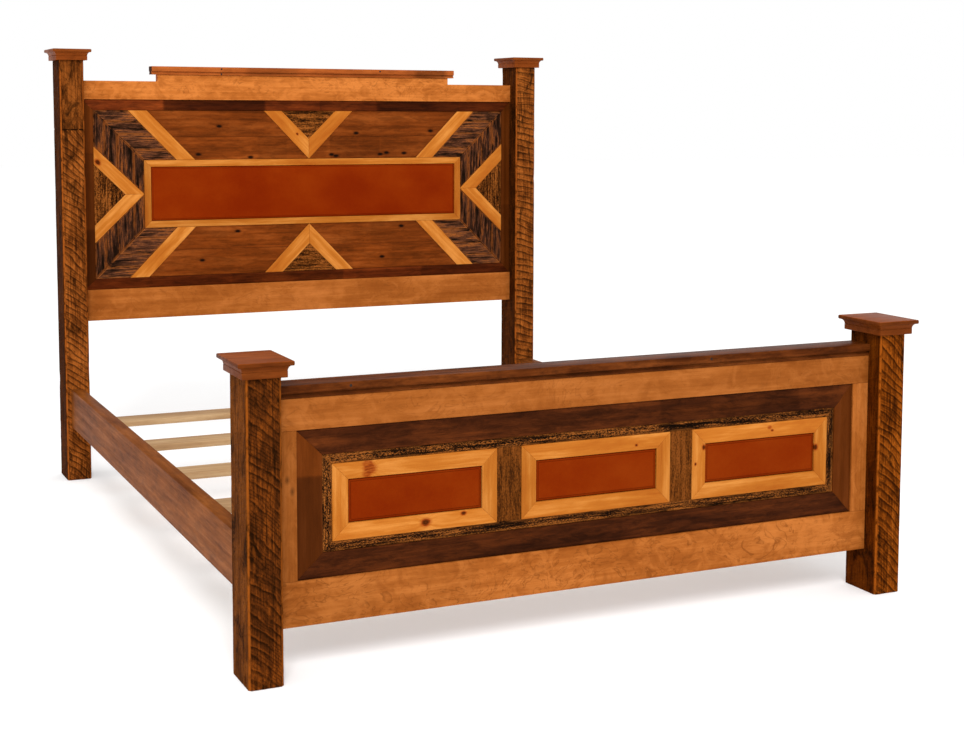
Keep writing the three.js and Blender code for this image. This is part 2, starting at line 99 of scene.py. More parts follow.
def fbm(u, v, seed, octaves=4):
    """Noise summed over octaves, about -1 to 1."""
    total, weight = 0, 0
    for k in range(octaves):
        total = total + noise(u * 2**k, v * 2**k, seed + 17 * k) * 0.55**k
        weight += 0.55**k
    return total / weight


# ---- mesh makers

def add_object(name, data):
    made = bpy.data.objects.new(name, data)
    SCENE.collection.objects.link(made)
    return made


def add_piece(name, verts, faces, material, node, slot, grain, mark, body="bed", sharp=35):
    """A mesh piece that rides on a body and stands for a CAD node."""
    mesh = bpy.data.meshes.new(name)
    mesh.from_pydata(verts.tolist(), [], faces)
    for key, values in (("grain", grain), ("mark", mark)):
        data = mesh.attributes.new(key, "FLOAT_VECTOR", "POINT").data
        data.foreach_set("vector", np.asarray(values, dtype=np.float32).ravel())
    mesh.materials.append(material)
    mesh.shade_smooth()
    mesh.set_sharp_from_angle(angle=math.radians(sharp))
    piece = add_object(name, mesh)
    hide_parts(node)
    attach(piece, body)
    return piece


def spaced(length, step, ease):
    """Distances from 0 to length, with extra ones in the eased edges."""
    ease = min(ease, length / 4)
    inner = np.linspace(ease, length - ease, max(2, int(round((length - 2 * ease) / step)) + 1))
    return np.concatenate([[0, ease * 0.15, ease * 0.5], inner, length - ease * np.array([0.5, 0.15, 0])])


def edge_drop(distance, ease):
    """How far an eased edge falls below the face, at a distance from the arris."""
    inside = np.clip(1 - distance / ease, 0, 1)
    return ease * (1 - np.sqrt(1 - inside**2 * 0.999))


def grid_faces(rows, columns, closed=False):
    """Quads of a grid of rows x columns vertices; closed joins the last column to the first."""
    r = np.arange(rows - 1)[:, None] * columns
    c = np.arange(columns if closed else columns - 1)[None, :]
    d = (c + 1) % columns
    return np.stack([r + c, r + d, r + columns + d, r + columns + c], -1).reshape(-1, 4)


def bar_faces(rows, columns):
    """Faces of a closed bar through rings of vertices; its two ends come last."""
    last = (rows - 1) * columns
    ends = [list(range(columns - 1, -1, -1)), list(range(last, last + columns))]
    return grid_faces(rows, columns, closed=True).tolist() + ends


def stacked(marks, shape):
    """Up to three marks as the vectors that a mesh stores."""
    mark = np.zeros(shape + (3,))
    mark[..., 2] = FAR
    for k, value in enumerate(marks):
        mark[..., k] = value
    return mark


def turn(a, b):
    """Twice the signed area between two plane vectors."""
    return a[0] * b[1] - a[1] * b[0]


def closed_plate(top, back):
    """Vertices and faces of a grid of face points with a skirt and a flat back at a y, and its rim."""
    rows, columns = top.shape[:2]
    grid = np.arange(rows * columns).reshape(rows, columns)
    rim = np.concatenate([grid[:-1, 0], grid[-1, :-1], grid[:0:-1, -1], grid[0, :0:-1]])
    top = top.reshape(-1, 3)
    under = top[rim].copy()
    under[:, 1] = back
    low = len(top) + np.arange(len(rim))
    skirt = np.stack([np.roll(rim, -1), rim, low, np.roll(low, -1)], -1)
    faces = grid_faces(rows, columns)[:, ::-1].tolist() + skirt.tolist() + [low[::-1].tolist()]
    return np.concatenate([top, under]), faces, rim


def plank(name, corners, depth, material, node, step, relief, ease=0.001, profile=None, knots=(),
          seed=0, **rest):
    """A flat piece facing -Y. corners are four (x, z) points: the first edge runs along the grain.

    depth is (front, back) in y. relief(u, v, edge) gives the height and the marks, from metres along,
    across and in from the edge; profile(v, width) gives a height across the width. knots are
    (along, across, radius), with a fourth value where only a knot's halo shows."""
    a0, a1, b1, b0 = (np.array(c, float) for c in corners)
    length = max(np.linalg.norm(a1 - a0), np.linalg.norm(b1 - b0))
    along = (a1 - a0) if np.linalg.norm(a1 - a0) > 0.5 * length else (b1 - b0)
    along = along / np.linalg.norm(along)
    width = abs(turn(along, b0 - a0))
    u, v = spaced(length, step[0], ease), spaced(width, step[1], ease)
    s, t = np.meshgrid(u / length, v / width, indexing="ij")
    points = ((1 - s) * (1 - t))[..., None] * a0 + (s * (1 - t))[..., None] * a1
    points = points + (s * t)[..., None] * b1 + ((1 - s) * t)[..., None] * b0
    across = np.array([-along[1], along[0]]) * np.sign(turn(along, b0 - a0))
    real_u = (points - a0) @ along
    real_v = (points - a0) @ across
    edge = np.minimum(np.minimum(s, 1 - s) * length, np.minimum(t, 1 - t) * width)
    height = -edge_drop(edge, ease)
    if profile:
        height = height + profile(real_v, width)
    rise, *marks = relief(real_u, real_v, edge)
    height = height + rise * np.clip(edge / 0.002, 0.2, 1)
    mark = stacked(marks, s.shape)
    grain_v = real_v.copy()
    for ku, kv, radius, *least in knots:
        away = np.hypot((real_u - ku) / 1.35, real_v - kv)
        mark[..., 2] = np.minimum(mark[..., 2], np.maximum(away / radius, least[0] if least else 0))
        grain_v = grain_v + (real_v - kv) * 1.5 * np.exp(-((away / (radius * 1.8)) ** 2))
        height = height - 0.0005 * np.exp(-((away / radius) ** 4))
    top = np.stack([points[..., 0], depth[0] - height, points[..., 1]], -1)
    verts, faces, rim = closed_plate(top, depth[1])
    if turn(a1 - a0, b0 - a0) + turn(b1 - b0, b1 - a1) < 0:
        faces = [face[::-1] for face in faces]
    grain = np.stack([real_u + seed * 1.37, grain_v + seed * 0.211, np.full(s.shape, seed * 0.117)], -1)
    grain, mark = grain.reshape(-1, 3), mark.reshape(-1, 3)
    add_piece(name, verts, faces, material, node, grain=np.concatenate([grain, grain[rim] + [0, 0, 0.01]]),
              mark=np.concatenate([mark, mark[rim]]), **rest)


def box_section(a, b, radius, step, chamfer):
    """Points and normals round a box, anticlockwise, its corners rounded or chamfered."""
    arcs = []
    for x, y, start in (
        (a[1] - radius, b[0] + radius, -90),
        (a[1] - radius, b[1] - radius, 0),
        (a[0] + radius, b[1] - radius, 90),
        (a[0] + radius, b[0] + radius, 180),
    ):
        angle = np.radians(start + np.array([0, 45, 90] if chamfer else [0, 30, 60, 90]))
        n = np.stack([np.cos(angle), np.sin(angle)], -1)
        p = np.array([x, y]) + radius * n
        if chamfer:
            p[1] = (p[0] + p[2]) / 2
        arcs.append((p, n))
    points, normals = [], []
    for (p, n), (after, _) in zip(arcs, arcs[1:] + arcs[:1]):
        count = max(1, round(float(np.linalg.norm(after[0] - p[-1])) / step))
        share = np.arange(1, count)[:, None] / count
        points += [p, p[-1] + (after[0] - p[-1]) * share]
        normals += [n, np.repeat(n[-1:], count - 1, axis=0)]
    return np.concatenate(points), np.concatenate(normals)


def beam(name, axis, span, section, material, node, step=0.02, ease=0.0008, relief=None, seed=0,
         ends=None, **rest):
    """A bar along an axis (0, 1 or 2). Its section, (points, normals), is in the next two axes.

    relief(along, points, normals) gives the height and the marks. ends is the end faces' material."""
    points, normals = section
    along = spaced(span[1] - span[0], step, ease)
    drop = edge_drop(np.minimum(along, along[::-1]), ease)
    rings = points[None] - normals[None] * drop[:, None, None]
    marks = ()
    if relief:
        rise, *marks = relief((along + span[0])[:, None], points[None], normals[None])
        rings = rings + normals[None] * rise[..., None]
    verts = np.empty(rings.shape[:2] + (3,))
    verts[..., axis] = (along + span[0])[:, None]
    verts[..., (axis + 1) % 3] = rings[..., 0]
    verts[..., (axis + 2) % 3] = rings[..., 1]
    grain = np.stack([verts[..., (axis + k) % 3] + seed * (1.37, 0.211, 0.117)[k] for k in range(3)], -1)
    mark = stacked(marks, rings.shape[:2])
    piece = add_piece(name, verts.reshape(-1, 3), bar_faces(*rings.shape[:2]), material, node,
                      grain=grain.reshape(-1, 3), mark=mark.reshape(-1, 3), **rest)
    if ends:
        piece.data.materials.append(ends)
        for face in piece.data.polygons[-2:]:
            face.material_index = 1


def timber(node, axis, material, radius=ARRIS, span=None, across=math.inf, chamfer=False, **rest):
    """A bar that fills a node's box, or a span of its axis. across is the spacing round its section."""
    lo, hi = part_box(node)
    b, c = (axis + 1) % 3, (axis + 2) % 3
    section = box_section((lo[b], hi[b]), (lo[c], hi[c]), radius, across, chamfer)
    beam(f"{node}_timber", axis, span or (lo[axis], hi[axis]), section, material, node, **rest)


def tiers(name, rings, material, node, tones=0, **rest):
    """A closed solid through rings of equally many (x, y, z) points, lowest first, each with a tone."""
    verts = np.concatenate(rings)
    mark = np.tile([0, 0, FAR], (len(verts), 1))
    mark[:, 0] = np.repeat(tones, len(verts) // np.size(tones))
    faces = bar_faces(len(rings), len(rings[0]))
    add_piece(name, verts, faces, material, node, grain=verts, mark=mark, **rest)


# ---- materials

def scaled(colour, share):
    """A colour, darkened or lightened."""
    return [c * share for c in colour]


class Shader:
    """A material's node tree with a Principled shader, and short calls for the nodes it needs.

    A plain one takes its coordinates from the object, for parts that store no grain."""

    def __init__(self, name, roughness, specular, metallic=0.0, plain=False):
        self.material = bpy.data.materials.new(name)
        self.material.use_nodes = True
        self.tree = self.material.node_tree
        self.plain = plain
        self.principled = self.tree.nodes["Principled BSDF"]
        values = {"Roughness": roughness, "Specular IOR Level": specular, "Metallic": metallic}
        for key, value in values.items():
            self.principled.inputs[key].default_value = value

    def node(self, kind, inputs=(), **settings):
        made = self.tree.nodes.new(kind)
        for key, value in settings.items():
            setattr(made, key, value)
        for key, value in dict(inputs).items():
            if isinstance(value, bpy.types.NodeSocket):
                self.tree.links.new(value, made.inputs[key])
            else:
                made.inputs[key].default_value = value
        return made

    def grain(self, scale):
        """Coordinates along, across and into the board, scaled."""
        if self.plain:
            source = self.node("ShaderNodeTexCoord").outputs["Object"]
        else:
            source = self.node("ShaderNodeAttribute", attribute_name="grain").outputs["Vector"]
        return self.node("ShaderNodeMapping", {"Vector": source, "Scale": scale}).outputs["Vector"]

    def mark(self):
        """The three marks that the mesh makers store."""
        source = self.node("ShaderNodeAttribute", attribute_name="mark").outputs["Vector"]
        return self.node("ShaderNodeSeparateXYZ", {"Vector": source}).outputs

    def noise(self, scale, detail=5, roughness=0.6, distortion=0):
        """Noise with as many cells to the metre as the three numbers of the scale."""
        inputs = {"Vector": self.grain(scale), "Scale": 1, "Detail": detail, "Roughness": roughness,
                  "Distortion": distortion}
        return self.node("ShaderNodeTexNoise", inputs).outputs["Fac"]

    def ramp(self, value, *stops):
        """Stops are (position, colour or grey)."""
        made = self.node("ShaderNodeValToRGB", {"Fac": value})
        elements = made.color_ramp.elements
        while len(elements) < len(stops):
            elements.new(0.5)
        for element, (position, colour) in zip(elements, stops):
            element.position = position
            colour = (colour, colour, colour) if isinstance(colour, (int, float)) else colour
            element.color = (*colour, 1)
        return made.outputs["Color"]

    def mix(self, factor, a, b):
        made = self.node("ShaderNodeMix", data_type="RGBA")
        for socket, value in ((made.inputs[0], factor), (made.inputs[6], a), (made.inputs[7], b)):
            if isinstance(value, bpy.types.NodeSocket):
                self.tree.links.new(value, socket)
            else:
                socket.default_value = value if isinstance(value, (int, float)) else (*value, 1)
        return made.outputs[2]

    def tint(self, colour, tint, value, *stops):
        """The colour, mixed with a tint as far as a ramp over a value says."""
        return self.mix(self.ramp(value, *stops), colour, tint)

    def math(self, operation, a, b=0.0):
        return self.node("ShaderNodeMath", {0: a, 1: b}, operation=operation).outputs[0]

    def times(self, a, b):
        return self.math("MULTIPLY", a, b)

    def plus(self, a, b):
        return self.math("ADD", a, b)

    def blend(self, a, b, share):
        """Two values added, the second by its share."""
        return self.plus(self.times(a, 1 - share), self.times(b, share))

    def sway(self, value, amount):
        """A value from 0 to 1 made to swing about zero."""
        return self.times(self.math("SUBTRACT", value, 0.5), amount)

    def finish(self, colour, height=None, bump=0.3, distance=0.001, rough=None):
        """Connects the colour, the bump from a height, and a varying roughness."""
        self.tree.links.new(colour, self.principled.inputs["Base Color"])
        if rough is not None:
            self.tree.links.new(rough, self.principled.inputs["Roughness"])
        if height is not None:
            inputs = {"Height": height, "Strength": bump, "Distance": distance}
            normal = self.node("ShaderNodeBump", inputs).outputs["Normal"]
            self.tree.links.new(normal, self.principled.inputs["Normal"])
        return self.material


def planed(name, dark, middle, light, roughness=0.45, specular=0.02, mottle=0.0, figure=0.0, flecks=0.0,
           streak=1.0, plain=False):
    """Planed, finished wood: streaks, soft clouds and pores, and on request figure, soot and flecks.

    Mark x is the board's tone, from -1 to 1, and on the caps also painted shade; mark y its nail holes and
    mark z the distance from a knot; plain wood has none of these."""
    s = Shader(name, roughness, specular, plain=plain)
    cloud = s.noise((3.5, 14, 10), 4, distortion=0.3)
    streaks = s.noise((2.4, 90 * streak, 60 * streak), 7, 0.7, 0.25)
    pores = s.noise((34, 800, 600), 2)
    body = s.blend(cloud, streaks, 0.45)
    colour = s.ramp(body, (0.36, dark), (0.5, middle), (0.62, light))
    colour = s.mix(s.times(s.ramp(pores, (0.52, 0), (0.66, 1)), 0.25), colour, dark)
    if figure:
        quilt = s.noise((8, 18, 13), 3, distortion=1.6)
        lines = s.ramp(s.math("FRACT", s.times(quilt, 7)), (0.30, 0), (0.5, 1), (0.55, 0))
        where = s.noise((4, 8, 6), 2)
        amount = s.times(lines, s.ramp(where, (0.36, 0.1), (0.52, figure)))
        colour = s.mix(amount, colour, scaled(dark, 0.62))
        blotch = s.noise((19, 26, 20), 4, distortion=1.2)
        colour = s.tint(colour, dark, blotch, (0.50, 0), (0.66, 0.9 * figure))
        colour = s.tint(colour, light, blotch, (0.34, 0.9 * figure), (0.48, 0))
    if mottle:
        soot = s.noise((14, 55, 40), 7, 0.75, 0.5)
        colour = s.tint(colour, scaled(dark, 0.22), soot, (0.40, mottle), (0.56, 0))
        rubbed = s.noise((9, 40, 30), 6, 0.72)
        colour = s.tint(colour, light, rubbed, (0.56, 0), (0.70, mottle))
    if flecks:
        cells = s.node("ShaderNodeTexVoronoi", {"Vector": s.grain((9, 24, 15))}).outputs["Distance"]
        colour = s.tint(colour, scaled(dark, 0.25), cells, (0.045, flecks), (0.09, 0))
    if not plain:
        marks = s.mark()
        rings = s.times(s.plus(marks[2], s.sway(s.noise((60, 160, 100), 3), 0.7)), 0.4)
        halo = (dark[0] * 0.75, dark[1] * 0.42, dark[2] * 0.35)
        colour = s.tint(colour, halo, rings, (0, 1), (0.36, 0.9), (0.42, 0.5), (0.62, 0))
        colour = s.tint(colour, scaled(dark, 0.1), rings, (0, 0.6), (0.16, 0.95), (0.28, 0.6), (0.38, 0))
        tone = s.plus(s.times(marks[0], 0.9), 1)
        colour = s.node("ShaderNodeVectorMath", {0: colour, "Scale": tone}, operation="SCALE").outputs[0]
        colour = s.tint(colour, (0.004, 0.002, 0.001), marks[1], (0.05, 0), (0.6, 0.97))
    rough = s.ramp(streaks, (0.3, roughness + 0.08), (0.7, roughness - 0.04))
    return s.finish(colour, s.plus(streaks, s.times(pores, 0.6)), 0.12, 0.0006, rough)


def sawn(name, black, dark, middle, light, edge, sides, wild):
    """Rough circular-sawn timber. Marks: the saw marks' phase, the chamfers that take a painted highlight in
    the edge colour, the saw marks' strength.

    sides are the dark, middle and light colours where the saw marks are weak. wild, from 0 to 1, is how
    far the saw marks wander and break up."""
    s = Shader(name, 0.7, 0.005)
    marks = s.mark()
    streaks = s.noise((9, 210, 210), 7, 0.75, 0.5)
    clouds = s.noise((8, 20, 20), 6, 0.7, 0.7)
    fine = s.noise((200, 480, 480), 4, 0.75)
    body = s.blend(clouds, streaks, 0.55)
    face = s.ramp(body, (0.38, dark), (0.48, middle), (0.58, light))
    side = s.ramp(body, (0.38, sides[0]), (0.49, sides[1]), (0.60, sides[2]))
    colour = s.mix(marks[2], side, face)
    phase = s.plus(marks[0], s.sway(s.noise((17, 13, 13), 8, 0.75), 0.65 + 0.6 * wild))
    patchy = s.noise((20, 20, 20), 6, 0.72)
    # The saw marks' grooves are darkened towards black: partly their own dark colour, partly painted shade.
    cut = s.ramp(s.math("FRACT", phase), (0.12, 0), (0.34, 0.5), (0.52, 0.92), (0.60, 0))
    groove_dark_and_shade = s.times(cut, s.ramp(patchy, (0.40, 0.65 - 0.5 * wild), (0.53, 1)))
    colour = s.mix(s.times(groove_dark_and_shade, marks[2]), colour, black)
    # Painted highlight along the lip beside each saw mark's groove.
    lip = s.ramp(s.math("FRACT", phase), (0.60, 0), (0.68, 0.6), (0.85, 0))
    lip = s.times(lip, s.ramp(patchy, (0.44, 0), (0.56, 1)))
    colour = s.mix(s.times(lip, marks[2]), colour, light)
    between = s.ramp(s.math("FRACT", s.times(phase, 2.71)), (0.2, 0), (0.5, 1), (0.65, 0))
    between = s.times(between, s.ramp(patchy, (0.44, 0.9), (0.54, 0)))
    colour = s.mix(s.times(between, s.times(marks[2], 0.8)), colour, black)
    stain = s.noise((9, 22, 22), 6, 0.72, 0.8)
    colour = s.tint(colour, black, stain, (0.52, 0), (0.64, 0.85))
    colour = s.tint(colour, black, fine, (0.36, 0.65), (0.47, 0))
    colour = s.tint(colour, black, streaks, (0.34, 0.8), (0.42, 0))
    # Painted highlight: the chamfers take the edge colour, broken up by noise.
    highlight_breakup = s.noise((45, 60, 60), 3)
    colour = s.mix(s.times(marks[1], s.ramp(highlight_breakup, (0.36, 0.15), (0.5, 1))), colour, edge)
    height = s.plus(s.times(fine, 0.6), s.times(streaks, 0.8))
    return s.finish(colour, s.math("SUBTRACT", height, s.times(groove_dark_and_shade, 0.5)), 0.6, 0.0018)


def weathered(name, low, middle, grey, high, speckle=0.0, ridges=0.3, fibres=330, edge=0.6):
    """Barnwood. Mark x is the ridge height from 0 to 1, mark y the lit edges."""
    s = Shader(name, 0.75, 0.01)
    marks = s.mark()
    fibre = s.noise((20, fibres, 200), 7, 0.75, 0.3)
    clouds = s.noise((6, 26, 18), 5, 0.65, 0.5)
    fine = s.noise((240, 480, 350), 4, 0.8)
    value = s.plus(s.blend(fibre, marks[0], ridges), s.sway(clouds, 0.5))
    if speckle:
        value = s.plus(value, s.sway(fine, speckle))
    colour = s.ramp(value, (0.39, low), (0.46, middle), (0.53, grey), (0.63, high))
    colour = s.tint(colour, low, fine, (0.40, 0.75), (0.48, 0))
    # Painted highlight: the edges in mark y take the high colour, as strongly as edge says, broken up by
    # noise.
    highlight_breakup = s.noise((30, 60, 60), 4)
    rim = s.times(s.times(marks[1], edge), s.ramp(highlight_breakup, (0.4, 0), (0.56, 1)))
    return s.finish(s.mix(rim, colour, high), s.plus(fibre, fine), 0.5, 0.0015)


def hide(name, dark, middle, light):
    """Smooth finished leather, with painted shade where it tucks in at its edge and a thin painted shadow
    line just inside that. Mark x is the distance from its edge, 1 at 20 mm.
    """
    s = Shader(name, 0.55, 0.012)
    cloud = s.noise((5, 7, 7), 3, 0.5)
    mottle = s.noise((90, 90, 90), 3)
    colour = s.ramp(s.blend(cloud, mottle, 0.15), (0.36, dark), (0.5, middle), (0.64, light))
    edge = s.mark()[0]
    shadow = scaled(dark, 0.25)
    # Painted shade along the edge, and a painted shadow line about 6 mm in.
    colour = s.tint(colour, shadow, edge, (0.0, 0.9), (0.10, 0.2), (0.16, 0))
    colour = s.tint(colour, shadow, edge, (0.26, 0), (0.31, 0.75), (0.37, 0))
    cells = s.node("ShaderNodeTexVoronoi", {"Vector": s.grain((1, 1, 1)), "Scale": 900},
                   feature="DISTANCE_TO_EDGE").outputs["Distance"]
    wrinkle = s.noise((120, 120, 120), 4)
    height = s.plus(s.ramp(cells, (0.0, 0), (0.12, 1)), s.times(wrinkle, 0.8))
    rough = s.ramp(mottle, (0.35, 0.50), (0.65, 0.60))
    return s.finish(colour, height, 0.12, 0.0004, rough)


def metal(name, colour, roughness, metallic):
    """Blackened steel or moulded plastic, with slight unevenness."""
    s = Shader(name, roughness, 0.4, metallic, plain=True)
    spots = s.noise((60, 60, 60))
    shade = s.ramp(spots, (0.35, scaled(colour, 0.6)), (0.65, scaled(colour, 1.5)))
    rough = s.ramp(spots, (0.3, roughness - 0.08), (0.7, roughness + 0.12))
    return s.finish(shade, spots, 0.1, 0.0005, rough)


# The fifth colour of each post material is its chamfers' painted highlight.
POST = sawn("sawn_post", (0.010, 0.0025, 0.0005), (0.045, 0.010, 0.001), (0.15, 0.032, 0.002),
            (0.31, 0.075, 0.006), (0.32, 0.075, 0.006),
            ((0.020, 0.005, 0.0005), (0.055, 0.010, 0.0005), (0.10, 0.021, 0.001)), wild=0.1)
POST_OLIVE = sawn("sawn_post_olive", (0.007, 0.0026, 0.0007), (0.023, 0.007, 0.0014),
                  (0.062, 0.015, 0.0026), (0.17, 0.040, 0.0045), (0.27, 0.065, 0.006),
                  ((0.050, 0.013, 0.003), (0.125, 0.034, 0.005), (0.21, 0.062, 0.011)), wild=1.0)
POST_TALL = sawn("sawn_post_tall", (0.012, 0.004, 0.001), (0.060, 0.015, 0.003), (0.20, 0.050, 0.007),
                 (0.38, 0.105, 0.016), (0.36, 0.085, 0.010),
                 ((0.009, 0.0022, 0.0004), (0.024, 0.0052, 0.0007), (0.055, 0.012, 0.0015)), wild=0.3)
CAP = planed("cap_wood", (0.145, 0.029, 0.0035), (0.205, 0.044, 0.006), (0.27, 0.066, 0.011),
             roughness=0.38, mottle=0.3)
CREST = planed("crest_wood", (0.19, 0.040, 0.007), (0.29, 0.068, 0.012), (0.38, 0.10, 0.020),
               mottle=0.25, flecks=0.8)
STRIP = planed("strip_wood", (0.032, 0.007, 0.0012), (0.085, 0.0185, 0.0025), (0.16, 0.040, 0.007),
               roughness=0.4, specular=0.025, mottle=0.45)
RAIL = planed("cherry_wood", (0.21, 0.053, 0.007), (0.31, 0.088, 0.014), (0.42, 0.132, 0.026),
              figure=0.6, flecks=0.35)
PLAIN_RAIL = planed("plain_cherry_wood", (0.21, 0.053, 0.007), (0.30, 0.086, 0.014),
                    (0.40, 0.126, 0.026), figure=0.38, flecks=0.35)
SIDE_RAIL = planed("side_rail_wood", (0.10, 0.024, 0.003), (0.20, 0.055, 0.008), (0.28, 0.085, 0.016),
                   mottle=0.3, flecks=0.4)
DARK = planed("dark_moulding", (0.022, 0.005, 0.0013), (0.051, 0.0115, 0.0025), (0.098, 0.022, 0.004),
              mottle=0.5)
DARK_RED = planed("dark_red_moulding", (0.026, 0.0045, 0.0008), (0.064, 0.0105, 0.0016),
                  (0.115, 0.021, 0.003), mottle=0.45)
DARK_SIDE = planed("dark_side_moulding", (0.050, 0.0105, 0.0010), (0.070, 0.0150, 0.0015),
                   (0.092, 0.021, 0.003), mottle=0.12)
PINE = planed("pine_wood", (0.31, 0.075, 0.007), (0.41, 0.127, 0.015), (0.56, 0.215, 0.042), streak=0.6)
BOARD = planed("aged_board", (0.088, 0.018, 0.002), (0.185, 0.037, 0.004), (0.27, 0.063, 0.009),
               mottle=0.38)
BARN = weathered("barnwood", (0.006, 0.003, 0.0015), (0.024, 0.009, 0.0045), (0.068, 0.025, 0.013),
                 (0.23, 0.062, 0.012), edge=1.0)
BARN_LIGHT = weathered("barnwood_light", (0.008, 0.004, 0.002), (0.052, 0.018, 0.008),
                       (0.115, 0.039, 0.018), (0.29, 0.085, 0.018), edge=1.0)
SPECKLED = weathered("speckled_barnwood", (0.007, 0.003, 0.001), (0.065, 0.018, 0.003),
                     (0.155, 0.042, 0.006), (0.32, 0.095, 0.016), speckle=1.1, edge=0)
BORDER = weathered("border_barnwood", (0.004, 0.002, 0.001), (0.012, 0.004, 0.0015),
                   (0.038, 0.012, 0.0035), (0.27, 0.082, 0.014), speckle=1.3, fibres=420, edge=0.45)
OLIVE = weathered("olive_barnwood", (0.035, 0.010, 0.002), (0.090, 0.024, 0.003), (0.13, 0.036, 0.005),
                  (0.18, 0.050, 0.008), speckle=0.7, ridges=0.15, fibres=180, edge=0)
LEATHER = hide("leather", (0.175, 0.0135, 0.0002), (0.200, 0.0185, 0.0004), (0.225, 0.025, 0.0008))
FOOT_LEATHER = hide("foot_leather", (0.150, 0.0125, 0.0002), (0.172, 0.0175, 0.0004),
                    (0.195, 0.024, 0.0010))
SOFTWOOD = planed("slat_wood", (0.30, 0.17, 0.08), (0.42, 0.26, 0.13), (0.52, 0.35, 0.19), roughness=0.6)
PLYWOOD = planed("plywood", (0.25, 0.12, 0.05), (0.37, 0.19, 0.08), (0.47, 0.27, 0.13), roughness=0.6,
                 plain=True)
END_GRAIN = planed("end_grain", (0.02, 0.008, 0.004), (0.04, 0.014, 0.006), (0.07, 0.024, 0.009),
                   roughness=0.7)
STEEL = metal("steel", (0.05, 0.05, 0.055), 0.42, 1.0)
NAIL = metal("nail", (0.012, 0.009, 0.008), 0.5, 0.6)
GLIDE = metal("glide", (0.02, 0.02, 0.021), 0.5, 0.0)


# ---- reliefs

def smooth_step(x):
    x = np.clip(x, 0, 1)
    return x * x * (3 - 2 * x)


def bell(x, width):
    """1 where x is zero, falling away on both sides."""
    return np.exp(-((x / width) ** 2))


def sawn_post(box, seed, splice=None, lean=(0.56, 3.4)):
    """Slanted, curved saw marks on the faces of a post, cracks on its sides and chamfers marked for a painted
    highlight.

    lean says how steeply the saw marks slope, and how fast they steepen. Above the height of a splice
    the timber is another piece, split and with no saw marks."""
    (x0, y0, _), (x1, y1, _) = box

    def relief(z, points, normals):
        x, y = points[..., 0], points[..., 1]
        facing = np.abs(normals[..., 1]) > 0.9
        side = np.abs(normals[..., 0]) > 0.9
        across = np.where(facing, np.where(normals[..., 1] < 0, x - x0, x1 - x), y - y0)
        slope = np.where(facing, lean[0], 0.22) * across + np.where(facing, lean[1], 0.6) * across**2
        phase = (z + slope) / KERF_PITCH + 0.9 * fbm(z / 0.11 + x * 0, across / 0.2, seed, 3)
        uneven = 0.5 + 0.5 * noise(z / 0.03, across / 0.03, seed)
        groove = bell(phase % 1 - 0.5, 0.12) * uneven
        strength = np.where(facing, 1.0, np.where(side, 0.12, 0.0)) + 0 * z
        wander = across / 0.028 + 0.35 * noise(z / 0.13, across * 0, seed + 3)
        crack = bell(noise(z / 0.55, wander, seed + 5), 0.05)
        crack = crack * (noise(z / 0.3, across / 0.04, seed + 9) > 0.1) * side
        height = 0.0004 * fbm(z / 0.035, across / 0.006, seed + 11)
        joint = 0 * z
        if splice:
            above = z > splice
            strength = np.where(above & facing, 0.7, strength)
            phase = np.where(above & facing, np.floor(phase), phase)
            split = bell(fbm(z / 0.3, across / 0.02, seed + 21), 0.06) * facing * above
            joint = np.abs(z - splice) < 0.0023
            phase = np.where(joint, np.floor(phase) + 0.5, phase)
            height = height - 0.0012 * joint - 0.001 * split
        height = height - 0.0009 * groove * strength - 0.0013 * crack
        strength = strength + 8 * joint * facing
        # The chamfers, marked for the painted highlight; they also get a little relief of their own.
        arris = np.where(facing | side, 0.0, 1.0) + 0 * z
        height = np.where(arris > 0, 0.0004 * noise(z / 0.02, across, seed), height)
        return height, phase, arris, strength

    return relief


def rough_face(seed, depth, cracks=0.0):
    """Weathered ridges along the grain, with cracks as deep as asked for."""

    def relief(u, v, edge):
        ridge = fbm(u / 0.09, v / 0.0044, seed)
        fine = fbm(u / 0.02, v / 0.0024, seed + 7)
        wander = v / 0.012 + 0.4 * noise(u / 0.08, v * 0, seed + 2)
        split = bell(noise(u / 0.35, wander, seed + 4), 0.07) * cracks
        split = split * (noise(u / 0.12, v / 0.02, seed + 6) > -0.1)
        height = depth * ridge + depth * 0.35 * fine - 0.0014 * split
        level = np.clip(0.5 + 0.55 * ridge + 0.3 * fine - 0.6 * split, 0, 1)
        # The third value marks the board's edges for a painted highlight.
        return height, level, bell(edge, 0.0035)

    return relief


def nail_marks(u, v, nails):
    """1 in the middle of each nail hole, fading out along the grain into its stain."""
    total = np.zeros_like(u)
    for nu, nv in nails:
        total = np.maximum(total, bell(np.hypot((u - nu) / 1.9, v - nv), 0.0048))
    return total


def planed_face(seed, nails=(), tone=0.0, tones=()):
    """A planed board's faint waves and nail holes. tones are (start, end, tone) of stretches of it."""

    def relief(u, v, edge):
        hole = nail_marks(u, v, nails)
        shade = tone + 0 * u
        for start, end, value in tones:
            inside = np.clip((u - start) / 0.004, 0, 1) * np.clip((end - u) / 0.004, 0, 1)
            shade = shade + (value - tone) * inside
        return 0.00012 * fbm(u / 0.12, v / 0.03, seed) - 0.001 * hole, shade, hole

    return relief


def planed_bar(tone, tones=(), nails=()):
    """A planed bar's tone, its stretches of other tones, (start, end, tone), and its nail holes."""

    def relief(along, points, normals):
        shade = tone + 0 * along * points[..., 0]
        for start, end, value in tones:
            shade = np.where((along > start) & (along < end), value, shade)
        hole = nail_marks(along + 0 * shade, points[..., 0] + 0 * shade, nails) * (normals[..., 1] < -0.9)
        return -0.0008 * hole, shade, 0.4 * hole

    return relief


def stretched(u, v, edge):
    """Leather pulled over a padded board: its crown, and its distance from the edge."""
    rise = 0.0022 * smooth_step(edge / 0.009) + 0.0001 * fbm(u / 0.05, v / 0.05, 5)
    return rise, np.clip(edge / 0.02, 0, 1)


